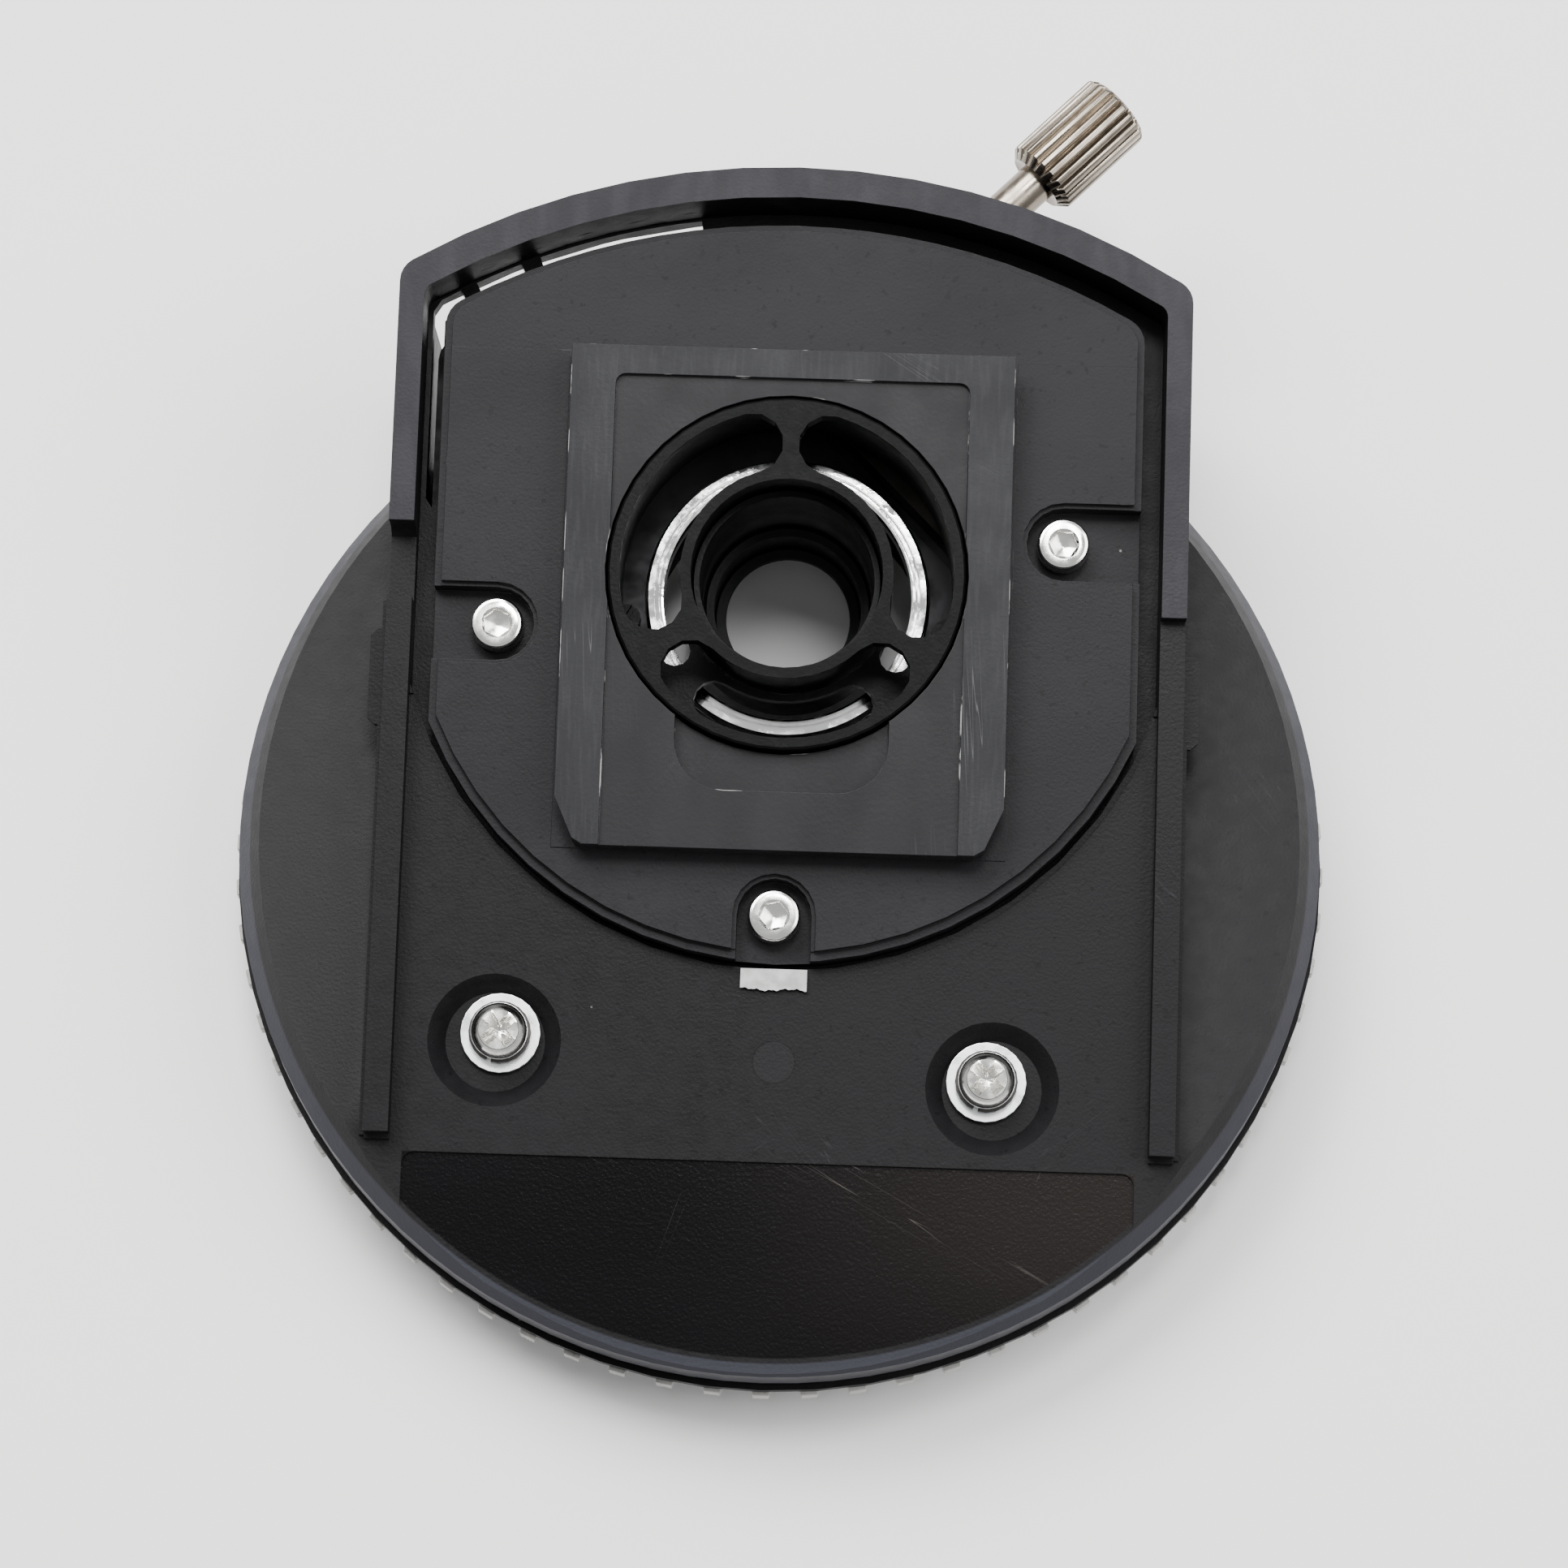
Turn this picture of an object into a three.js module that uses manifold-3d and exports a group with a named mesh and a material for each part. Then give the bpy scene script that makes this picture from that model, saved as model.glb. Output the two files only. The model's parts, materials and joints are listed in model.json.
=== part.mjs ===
// Rotary table, mounting side up, lying on the flat face of its round table.
// Millimetres, +Z up. The origin is on the table's axis, at the face that it rests on.
// The cover's floor, its mount and the light tube lie in a plane that leans back from
// the table by TILT about a crease across the cover. Points in that plane are written
// (x, v, w): x across, v up the slope from the crease, w out of the plane.

import * as THREE from 'three';
import { mergeVertices } from 'three/addons/utils/BufferGeometryUtils.js';
import Module from 'manifold-3d';

const wasm = await Module();
wasm.setup();

// ---- driving dimensions ------------------------------------------------------------
const GAP = 0.3;                 // clearance between neighbours that touch
const FACE_Z = 20;               // height of the cover's crescent faces
const CREASE_Y = -36.7;          // where the sloping floor meets the crescent faces
const TILT = THREE.MathUtils.degToRad(8);

const RIM_R = 65;                // cover's widest radius
const FACE_R = 62.2;             // edge of the crescent faces, where the chamfer starts
const CHAMFER_Z = 15.6;          // foot of the chamfer
const SKIRT_Z = 10.8;            // lower edge of the cover
const SHELL = 2.4;               // thickness of the cover's skin

const TONGUE_W = 47.5;           // half width across the outer walls
const TONGUE_R = 89;             // top arc of the outer wall
const ARC_V = 26.7;              // centre of the top arcs
const WALL_T = 3.0;              // side wall and rail thickness
const INNER_R = 85.3;            // inside of the top wall
const WALL_H = 5;                // wall above the floor
const RAIL_H = 3;                // rail above the floor
const WALL_END_V = 62;           // where the tall walls drop to the rails
const LEDGE_W = -3;              // floor of the well round the mount plate
const SKIRT_END_V = 99;          // the side skirts end here and the tongue's end is a canopy
const CANOPY_LOW = -6.2;         // lower edge of the canopy's wall

const TUBE_V = 65.6;             // light tube's axis
const RING_R = 21.2;             // spider ring, outside
const RING_IN_R = 19.85;         // spider ring, inside
const TUBE_R = 12.65;            // light tube, outside
const BORE_R = 11.4;             // light tube, front bore
const FRONT_W = 6.9;             // front face of the spider

const PLATE_W = 42;              // half width of the mount plate
const PLATE_R = 82.6;            // top arc of the mount plate
const PLATE_LOW_R = 46;          // lower arc of the mount plate, about the tube
const PLATE_TOP = 3;
const PLATE_BOTTOM = -2.7;

const BLOCK_W = 26.4;            // dovetail half width at its face
const BLOCK_TOP = 7.3;
const BLOCK_V0 = 32.4;
const BLOCK_V1 = 92.6;

const CAP_SCREWS = [
  { name: 'left', x: -34.3, v: 59.3, open: 180 },
  { name: 'right', x: 32.8, v: 71.0, open: 0 },
  { name: 'bottom', x: -0.2, v: 25.3, open: 270 },
];
const COVER_SCREWS = [
  { name: 'left', x: -32.1, v: 10.8, recessX: -32.7, recessV: 9.8 },
  { name: 'right', x: 25.4, v: 6.8, recessX: 26.1, recessV: 5.9 },
];

const CLAMP_W = -9;              // clamp screw's height in the sloping frame
const CLAMP_KNOB = { x: 28.8, v: 118.7 };   // inner end of the knob, on the screw's axis
const KNOB_R = 4.9;
const KNOB_FLUTES = 20;
const KNOB_L = 14;
const SPINDLE_R = 2.5;
const SHOE_REACH = 18.4;         // shoe's working face from the tube's axis
const CLAMP_REACH = 34.2;        // knob's inner end to the spindle's tip
const CLAMP_DIR = THREE.MathUtils.degToRad(45);

const STATION_R = 17;            // openings in the round table
const STATION_AT = 31.4;         // their distance from the table's axis
const STATIONS = 4;
const TABLE_T = 4;               // thickness of the table's plate
const TABLE_R = 58.5;            // its resting face
const DRUM_R = 62;               // the drum under the ribbed grip ring
const TABLE_RIM_Z = 10.45;       // top of its rim
const FLANGE_Z = 9.35;           // underside of the flange above the ribs
const FLANGE_R = 65.6;
const HUB_Z = 8.4;
const TRACK_Z = 7.6;             // floor of the track that the detent ball runs in
const RIB_COUNT = 72;
const GRIP_Z = 7.2;              // lower edge of the ribs
const GRIP_ROOT = 64;            // radius between the ribs
const GRIP_TIP = 66;             // radius over the ribs
const AXLE_R = 5;
const DETENT = { x: -7.6, y: -7.6, ballR: 1.5, ballZ: 9.35 };
const RING_SCREWS = [{ name: 'left', at: 189 }, { name: 'right', at: 349 }];
const RING_SCREW_R = 19.6;       // their distance from the tube's axis

// ---- materials ---------------------------------------------------------------------
const material = (color, roughness, metalness) =>
  new THREE.MeshStandardMaterial({ color, roughness, metalness });
const BLACK = [0x2b2b2d, 0.6, 0];
const PLATE_BLACK = [0x313134, 0.55, 0];
const ANODISED = [0x47474a, 0.45, 0.6];
const STEEL = [0xc9c7c2, 0.25, 1];
const NICKEL = [0x9a938a, 0.3, 1];
const LIGHT_GREY = [0xc8c5bd, 0.5, 0];
const FRAME_GREY = [0x77797c, 0.5, 0.4];

// ---- solids ------------------------------------------------------------------------
const TAU = Math.PI * 2;

function solid(geometry) {
  geometry.deleteAttribute('normal');
  geometry.deleteAttribute('uv');
  const merged = mergeVertices(geometry, 1e-4);
  const position = merged.attributes.position;
  const index = merged.index.array;
  const triangles = [];
  let volume = 0;
  const a = new THREE.Vector3();
  const b = new THREE.Vector3();
  const c = new THREE.Vector3();
  for (let i = 0; i < index.length; i += 3) {
    const [p, q, r] = [index[i], index[i + 1], index[i + 2]];
    if (p === q || q === r || r === p) continue;
    triangles.push([p, q, r]);
    a.fromBufferAttribute(position, p);
    b.fromBufferAttribute(position, q);
    c.fromBufferAttribute(position, r);
    volume += a.dot(b.cross(c));
  }
  const facing = volume < 0 ? triangles.map(([p, q, r]) => [p, r, q]) : triangles;
  return new wasm.Manifold(new wasm.Mesh({
    numProp: 3,
    vertProperties: new Float32Array(position.array),
    triVerts: new Uint32Array(facing.flat()),
  }));
}

const placed = (geometry, matrix) => solid(matrix ? geometry.applyMatrix4(matrix) : geometry);
const union = (...parts) => parts.reduce((whole, part) => whole.add(part));
const cut = (whole, ...parts) => parts.reduce((left, part) => left.subtract(part), whole);

// Points of an arc, both ends included; angles in degrees.
function arc(cx, cy, r, from, to, steps) {
  const points = [];
  for (let i = 0; i <= steps; i += 1) {
    const a = THREE.MathUtils.degToRad(from + (to - from) * i / steps);
    points.push(new THREE.Vector2(cx + r * Math.cos(a), cy + r * Math.sin(a)));
  }
  return points;
}

const polar = (r, degrees) => arc(0, 0, r, degrees, degrees, 1)[0];

// A flat outline raised from z0 to z1.
function slab(points, z0, z1, matrix) {
  const settings = { depth: z1 - z0, bevelEnabled: false };
  const geometry = new THREE.ExtrudeGeometry(new THREE.Shape(points), settings);
  return placed(geometry.translate(0, 0, z0), matrix);
}

function box(x0, x1, y0, y1, z0, z1, matrix) {
  const geometry = new THREE.BoxGeometry(x1 - x0, y1 - y0, z1 - z0);
  return placed(geometry.translate((x0 + x1) / 2, (y0 + y1) / 2, (z0 + z1) / 2), matrix);
}

// A turned solid about Z through (x, y), from a closed profile of [radius, height].
function turned(profile, segments, x = 0, y = 0, matrix = null) {
  const points = [...profile, profile[0]].map(([r, z]) => new THREE.Vector2(r, z));
  const geometry = new THREE.LatheGeometry(points, segments).rotateX(Math.PI / 2);
  return placed(geometry.translate(x, y, 0), matrix);
}

const rod = (r, z0, z1, segments, x, y, matrix) =>
  turned([[0, z0], [r, z0], [r, z1], [0, z1]], segments, x, y, matrix);
const pipe = (r0, r1, z0, z1, segments, x, y, matrix) =>
  turned([[r0, z0], [r1, z0], [r1, z1], [r0, z1]], segments, x, y, matrix);

// A slot with round ends that follows an arc about (cx, cy).
function curvedSlot(cx, cy, rIn, rOut, from, to, z0, z1, matrix) {
  const mid = (rIn + rOut) / 2;
  const end = (rOut - rIn) / 2;
  const roundEnd = (degrees, start) => {
    const a = THREE.MathUtils.degToRad(degrees);
    const [x, y] = [cx + mid * Math.cos(a), cy + mid * Math.sin(a)];
    return arc(x, y, end, start, start + 180, 6).slice(1, -1);
  };
  const outline = [
    ...arc(cx, cy, rOut, from, to, 12),
    ...roundEnd(to, to),
    ...arc(cx, cy, rIn, to, from, 9),
    ...roundEnd(from, from + 180),
  ];
  return slab(outline, z0, z1, matrix);
}

// ---- scene graph -------------------------------------------------------------------
const rotaryTable = new THREE.Group();
const sloping = new THREE.Group();
sloping.position.set(0, CREASE_Y, FACE_Z);
sloping.rotation.x = TILT;
rotaryTable.add(sloping);
sloping.updateMatrixWorld(true);
const SLOPE = sloping.matrixWorld.clone();

function node(parent, name, shape, look) {
  const { vertProperties, triVerts } = shape.getMesh();
  const geometry = new THREE.BufferGeometry();
  geometry.setAttribute('position', new THREE.BufferAttribute(new Float32Array(vertProperties), 3));
  geometry.setIndex(new THREE.BufferAttribute(new Uint32Array(triVerts), 1));
  geometry.computeVertexNormals();
  const mesh = new THREE.Mesh(geometry, material(...look));
  mesh.name = name;
  parent.add(mesh);
  return mesh;
}

// ---- outlines in the sloping frame -------------------------------------------------

// Straight sides, a top arc about (0, ARC_V) and rounded corners between them.
function tongueOutline(halfWidth, topR, cornerR, v0, steps = 14) {
  const cx = halfWidth - cornerR;
  const cv = ARC_V + Math.sqrt((topR - cornerR) ** 2 - cx ** 2);
  const turn = THREE.MathUtils.radToDeg(Math.atan2(cv - ARC_V, cx));
  return [
    new THREE.Vector2(-halfWidth, v0),
    new THREE.Vector2(halfWidth, v0),
    ...arc(cx, cv, cornerR, 0, turn, 4),
    ...arc(0, ARC_V, topR, turn, 180 - turn, steps).slice(1, -1),
    ...arc(-cx, cv, cornerR, 180 - turn, 180, 4),
  ];
}

// The same, closed below by an arc about the light tube.
function plateOutline(halfWidth, topR, cornerR, lowR, steps = 16) {
  const side = THREE.MathUtils.radToDeg(Math.acos(halfWidth / lowR));
  return [
    ...arc(0, TUBE_V, lowR, 180 + side, 360 - side, steps),
    ...tongueOutline(halfWidth, topR, cornerR, TUBE_V, steps).slice(2),
  ];
}

// A U-shaped pocket: round at the screw, open in one direction.
function pocketOutline(r, reach) {
  return [
    new THREE.Vector2(reach, -r),
    new THREE.Vector2(reach, r),
    ...arc(0, 0, r, 90, 270, 10),
  ];
}

const turnedAt = (x, v, degrees) => new THREE.Matrix4()
  .makeTranslation(x, v, 0)
  .multiply(new THREE.Matrix4().makeRotationZ(THREE.MathUtils.degToRad(degrees)));

// The clamp screw's own frame: Z runs outwards along its axis from the knob's inner end.
const CLAMP = new THREE.Matrix4()
  .makeTranslation(CLAMP_KNOB.x, CLAMP_KNOB.v, CLAMP_W)
  .multiply(new THREE.Matrix4().makeRotationZ(CLAMP_DIR))
  .multiply(new THREE.Matrix4().makeRotationY(Math.PI / 2));
const SLOPE_CLAMP = SLOPE.clone().multiply(CLAMP);

// ---- housing cover -----------------------------------------------------------------

function railsAndWalls() {
  const inner = TONGUE_W - WALL_T;
  const foot = -0.5;
  const wall = cut(
    slab(tongueOutline(TONGUE_W, TONGUE_R, 3, WALL_END_V), foot, WALL_H, SLOPE),
    slab(tongueOutline(inner, INNER_R, 1.6, WALL_END_V - 1), foot - 1, WALL_H + 1, SLOPE),
  );
  // A scooped notch between the tall left wall and its rail.
  const notchR = 4.4;
  const scoop = [
    new THREE.Vector2(WALL_END_V - 1, WALL_H + 1),
    new THREE.Vector2(WALL_END_V - 1, WALL_H - 6.6),
    ...arc(71 - notchR, WALL_H - 6.6 + notchR, notchR, 270, 360, 6),
    new THREE.Vector2(71, WALL_H + 1),
  ];
  const across = new THREE.Matrix4().makeBasis(
    new THREE.Vector3(0, 1, 0), new THREE.Vector3(0, 0, 1), new THREE.Vector3(1, 0, 0),
  );
  const notch = slab(scoop, -TONGUE_W - 1, -TONGUE_W + WALL_T + 0.1, SLOPE.clone().multiply(across));
  const parts = [wall.subtract(notch)];
  for (const side of [-1, 1]) {
    const x = (a, b) => [Math.min(side * a, side * b), Math.max(side * a, side * b)];
    parts.push(box(...x(inner, TONGUE_W), -1.6, WALL_END_V + 0.1, foot, RAIL_H, SLOPE));
    parts.push(box(...x(inner, TONGUE_W), -2.3, -1.5, foot, 0.6, SLOPE));
    parts.push(box(...x(inner + 1, TONGUE_W + 0.6), -1.9, WALL_END_V, foot, 0.5, SLOPE));
    const tab = [[1, 47], [1.9, 47.8], [1.9, 57.8], [1, 58.6], [-1, 58.6], [-1, 47]];
    const outline = tab.map(([out, v]) => new THREE.Vector2(side * (TONGUE_W + out), v));
    parts.push(slab(outline, foot, 0.5, SLOPE));
  }
  return union(...parts);
}

function coverHollow() {
  const underFloor = box(-90, 90, -60, 140, -60, -SHELL, SLOPE);
  const discInside = rod(RIM_R - SHELL, SKIRT_Z - 1, FACE_Z - SHELL, 48).intersect(underFloor);
  const tongueInside = slab(tongueOutline(TONGUE_W - WALL_T, INNER_R, 1.6, 2, 8), -40, -SHELL, SLOPE);
  const ledge = plateOutline(TONGUE_W - WALL_T + 0.01, INNER_R + 0.01, 1.6, PLATE_LOW_R + 3);
  const underLedge = slab(ledge, -20, 0, SLOPE)
    .intersect(box(-90, 90, 0, 140, LEDGE_W - SHELL, 0, SLOPE));
  return cut(discInside.add(tongueInside), underLedge);
}

function well() {
  const outline = plateOutline(TONGUE_W - WALL_T, INNER_R, 1.6, PLATE_LOW_R + 0.5);
  const open = slab(outline, LEDGE_W, 4, SLOPE);
  const groove = cut(
    rod(PLATE_LOW_R + 1.2, -0.4, 1, 64, 0, TUBE_V, SLOPE),
    rod(PLATE_LOW_R + 0.2, -1, 2, 64, 0, TUBE_V, SLOPE),
    box(-60, 60, 51, 140, -2, 3, SLOPE),
  );
  return open.add(groove);
}

// Slots through the well's floor beside the left wall and under the left of the top arc.
function slots() {
  const rIn = PLATE_R + 0.3;
  const rOut = PLATE_R + 2.4;
  const arcs = [[98, 111.6], [113.2, 117.2]];
  const parts = arcs.map(([from, to]) => slab([
    ...arc(0, ARC_V, rOut, from, to, 8),
    ...arc(0, ARC_V, rIn, to, from, 8),
  ], -8, 0, SLOPE));
  parts.push(slab([
    ...arc(0, ARC_V, rOut, 118.6, 120.4, 2),
    new THREE.Vector2(-43.9, 98.6),
    new THREE.Vector2(-43.9, 75.4),
    new THREE.Vector2(-42.5, 73.4),
    new THREE.Vector2(-42.5, 97.4),
    ...arc(0, ARC_V, rIn, 120, 118.6, 2),
  ], -8, 0, SLOPE));
  return union(...parts);
}

function housingCover() {
  const disc = turned([
    [0, SKIRT_Z], [RIM_R - 0.4, SKIRT_Z], [RIM_R, SKIRT_Z + 1],
    [RIM_R, CHAMFER_Z], [FACE_R, FACE_Z], [0, FACE_Z],
  ], 96);
  const tongue = cut(
    slab(tongueOutline(TONGUE_W, TONGUE_R, 3, 0), -40, 0, SLOPE),
    box(-90, 90, -120, 140, -60, SKIRT_Z),
    box(-90, 90, SKIRT_END_V, 140, -60, CANOPY_LOW, SLOPE),
  );
  const aboveFloor = box(-90, 90, -60, 0, 0, 40, SLOPE);
  const body = union(disc, tongue).subtract(aboveFloor);
  const shell = cut(body.add(railsAndWalls()), coverHollow(), well(), slots());

  const bosses = COVER_SCREWS.map((s) => rod(9.2, -3.4, -1, 18, s.recessX, s.recessV, SLOPE));
  const clampBoss = rod(7, -16, -4.2, 16, 0, 0, SLOPE_CLAMP)
    .intersect(slab(tongueOutline(TONGUE_W - 1, TONGUE_R - 1, 3, 60), -30, LEDGE_W - 1, SLOPE));
  let whole = union(shell, ...bosses, clampBoss);

  const recessProfile = [[0, -2.2], [5.9, -2.2], [7.9, 0], [8.1, 0.2], [8.1, 2], [0, 2]];
  for (const s of COVER_SCREWS) {
    const recess = turned(recessProfile, 36, s.recessX, s.recessV, SLOPE);
    whole = cut(whole, recess, rod(2.3, -6, 0, 16, s.x, s.v, SLOPE));
  }
  for (const s of CAP_SCREWS) {
    whole = whole.subtract(rod(5.1, -8, LEDGE_W + 0.01, 16, s.x, s.v, SLOPE));
  }
  const label = [
    new THREE.Vector2(-43, -40),
    new THREE.Vector2(43, -40),
    ...arc(41.5, -5.1, 1.5, 0, 90, 4),
    ...arc(-41.5, -5.1, 1.5, 90, 180, 4),
  ];
  const labelRecess = slab(label, -0.4, 2, SLOPE).intersect(rod(RIM_R - 0.9, 5, 30, 96));
  return cut(
    whole,
    labelRecess,
    rod(24, -8, 0, 40, 0, TUBE_V, SLOPE),
    rod(5.2, -30, -9.5, 20, 0, 0, SLOPE_CLAMP),
    rod(SPINDLE_R + 2 * GAP, -30, 4, 20, 0, 0, SLOPE_CLAMP),
  );
}

// ---- mount: plate, dovetail and their screws ---------------------------------------

const blockScrews = () => [[-21, 40], [21, 40], [-21, 87], [21, 87]];

function mountPlate() {
  const steps = 20;
  const outline = plateOutline(PLATE_W, PLATE_R, 3.4, PLATE_LOW_R - 0.2, steps);
  const shoulder = plateOutline(PLATE_W - 0.9, PLATE_R - 0.9, 3, PLATE_LOW_R - 1.3, steps);
  const lower = slab(outline, PLATE_BOTTOM, PLATE_TOP - 1);
  const upper = slab(shoulder, -1, PLATE_TOP);
  const seat = box(-BLOCK_W - 0.4, BLOCK_W + 0.4, BLOCK_V0 + 0.1, 92.8, 0, PLATE_TOP + 0.12);
  let plate = cut(
    union(lower, upper, seat),
    box(-50, 50, 92.8, 120, PLATE_TOP - 0.12, 6),
    rod(RING_R + GAP, -6, 8, 48, 0, TUBE_V),
  );
  for (const s of CAP_SCREWS) {
    const matrix = turnedAt(s.x, s.v, s.open);
    plate = cut(
      plate,
      slab(pocketOutline(4.4, 30), -0.4, 8, matrix),
      slab(pocketOutline(4.9, 30), PLATE_TOP - 0.7, 8, matrix),
      rod(1.9, -6, 1, 16, s.x, s.v),
    );
  }
  const countersink = [[0, -3], [3.6, -3], [3.6, -2.4], [1.9, -0.9], [1.9, 5], [0, 5]];
  for (const [x, v] of blockScrews()) {
    plate = plate.subtract(turned(countersink, 16, x, v));
  }
  return plate;
}

function dovetailBlock() {
  const z0 = PLATE_TOP + 0.12 + GAP;
  const face = (inset) => [
    new THREE.Vector2(-BLOCK_W + inset, BLOCK_V1),
    new THREE.Vector2(-BLOCK_W + inset, BLOCK_V0 + 5.6),
    new THREE.Vector2(-BLOCK_W + inset + 2.2, BLOCK_V0 + 0.7),
    new THREE.Vector2(-BLOCK_W + inset + 3.4, BLOCK_V0),
    new THREE.Vector2(BLOCK_W - inset - 3.4, BLOCK_V0),
    new THREE.Vector2(BLOCK_W - inset - 2.2, BLOCK_V0 + 0.7),
    new THREE.Vector2(BLOCK_W - inset, BLOCK_V0 + 5.6),
    new THREE.Vector2(BLOCK_W - inset, BLOCK_V1),
  ];
  // Undercut flanks: the sides lean in below a narrow upright land.
  const flank = new THREE.Shape([
    new THREE.Vector2(-BLOCK_W + 2.2, z0), new THREE.Vector2(BLOCK_W - 2.2, z0),
    new THREE.Vector2(BLOCK_W, BLOCK_TOP - 0.8), new THREE.Vector2(BLOCK_W, BLOCK_TOP),
    new THREE.Vector2(-BLOCK_W, BLOCK_TOP), new THREE.Vector2(-BLOCK_W, BLOCK_TOP - 0.8),
  ]);
  const length = BLOCK_V1 - BLOCK_V0 + 2;
  const dovetail = solid(new THREE.ExtrudeGeometry(flank, { depth: length, bevelEnabled: false })
    .rotateX(Math.PI / 2).translate(0, BLOCK_V1 + 1, 0));
  const strip = 5.35;
  const recess = [
    new THREE.Vector2(-BLOCK_W + strip, BLOCK_V0 - 1),
    new THREE.Vector2(BLOCK_W - strip, BLOCK_V0 - 1),
    ...arc(BLOCK_W - strip - 1.2, BLOCK_V1 - 3.5 - 1.2, 1.2, 0, 90, 4),
    ...arc(-BLOCK_W + strip + 1.2, BLOCK_V1 - 3.5 - 1.2, 1.2, 90, 180, 4),
  ];
  const pocket = [
    new THREE.Vector2(-12.6, 52),
    ...arc(-6.6, 45.4, 6, 180, 270, 8),
    ...arc(6.6, 45.4, 6, 270, 360, 8),
    new THREE.Vector2(12.6, 52),
  ];
  let block = cut(
    dovetail.intersect(slab(face(0), 0, 10)),
    slab(recess, BLOCK_TOP - 0.6, 10),
    slab(pocket, BLOCK_TOP - 2.2, 10),
    rod(RING_R + GAP, 0, 10, 48, 0, TUBE_V),
  );
  for (const [x, v] of blockScrews()) {
    block = block.subtract(rod(1.9, 0, 6.2, 16, x, v));
  }
  return block;
}

function capScrew(x, v) {
  const head = turned([[0, -0.1], [2.95, -0.1], [3.1, 0.1], [3.1, 2.5], [2.8, 2.9], [0, 2.9]], 20, x, v);
  const socket = turned([[0, 1.2], [1.45, 1.2], [1.45, 4], [0, 4]], 6, x, v);
  return head.subtract(socket).add(rod(1.5, -11, 0, 12, x, v));
}

function blockScrew(x, v) {
  return turned([[0, -2.65], [3.2, -2.65], [1.5, -1.0], [1.5, 5.8], [0, 5.8]], 12, x, v);
}

// ---- cover screws and washers ------------------------------------------------------

function panScrew(x, v) {
  const head = turned([[0, 0.15], [3.3, 0.15], [3.36, 0.9], [3.1, 2.1], [2.3, 2.8], [0, 3.05]], 20, x, v);
  const arm = (degrees) => box(-1.9, 1.9, -0.42, 0.42, 1.2, 5, turnedAt(x, v, degrees));
  return cut(head, arm(20), arm(110)).add(rod(1.95, -8, 0.5, 12, x, v));
}

function lockWasher(x, v) {
  const ring = pipe(2.4, 3.7, -1.1, -0.1, 20, x, v);
  return ring.subtract(box(2, 4.2, -0.3, 0.3, -2, 1, turnedAt(x, v, 250)));
}

// ---- light tube, sleeve and rings --------------------------------------------------

function lightTube() {
  const face = cut(
    rod(RING_R - 0.5, FRONT_W - 2.4, FRONT_W, 48, 0, TUBE_V),
    rod(BORE_R, 0, 10, 40, 0, TUBE_V),
    curvedSlot(0, TUBE_V, TUBE_R, RING_IN_R, 106, 193.5, 0, 10),
    curvedSlot(0, TUBE_V, TUBE_R, RING_IN_R, 227.5, 314.5, 0, 10),
    curvedSlot(0, TUBE_V, TUBE_R, RING_IN_R, 346.5, 434, 0, 10),
  );
  const wall = turned([
    [RING_IN_R, -4.4], [22.8, -4.4], [22.8, PLATE_BOTTOM - GAP], [RING_R, PLATE_BOTTOM - GAP],
    [RING_R, FRONT_W - 0.25], [RING_R - 0.25, FRONT_W], [RING_IN_R, FRONT_W],
  ], 48, 0, TUBE_V);
  const tube = turned([
    [BORE_R, -8], [TUBE_R, -8], [TUBE_R, FRONT_W], [BORE_R + 0.3, FRONT_W], [BORE_R, FRONT_W - 0.3],
  ], 40, 0, TUBE_V);
  return cut(union(face, wall, tube), rod(BORE_R, -9, 3, 40, 0, TUBE_V));
}

// Inner ridges stop stray light; the far end narrows to a small aperture.
function tubeSleeve() {
  const outer = BORE_R - GAP;
  return turned([
    [outer, 1.5], [outer, -8.4], [TUBE_R, -8.4], [TUBE_R, -18.7], [9.6, -18.7], [9.6, -22.6],
    [7.65, -22.6], [7.65, -21.6], [8.9, -21.6], [8.9, -16.5], [9.6, -16.5], [9.6, -9.5], [10.2, -9.5],
    [10.2, 1.5],
  ], 30, 0, TUBE_V);
}

function windowPlate() {
  const plate = slab([
    ...arc(0, TUBE_V, RING_IN_R - GAP, 205, 335, 14),
    ...arc(0, TUBE_V, TUBE_R + GAP, 335, 205, 12),
  ], -3.8, -2.2);
  return cut(
    plate,
    curvedSlot(0, TUBE_V, TUBE_R + 1.2, RING_IN_R - 1.2, 239, 301, -6, 0),
    rod(1.9, -6, 0, 12, -13.2, 57.6),
    rod(1.9, -6, 0, 12, 13.2, 57.6),
  );
}

function chromeRing() {
  return turned([
    [15.0, -12.0], [16.9, -12.0], [16.9, -8.0], [16.2, -8.0], [15.9, -8.6], [15.0, -8.6],
  ], 40, 0, TUBE_V);
}

function ringScrewPlace({ at }) {
  const a = THREE.MathUtils.degToRad(at);
  return [RING_SCREW_R * Math.cos(a), TUBE_V + RING_SCREW_R * Math.sin(a)];
}

function ringScrew(place) {
  const [x, v] = ringScrewPlace(place);
  const head = cut(rod(1.7, -9.2, -8.0, 16, x, v), box(-2, 2, -0.3, 0.3, -8.5, -7, turnedAt(x, v, 60)));
  return head.add(rod(0.9, -13.5, -9, 8, x, v));
}

// ---- support frame -----------------------------------------------------------------

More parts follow.
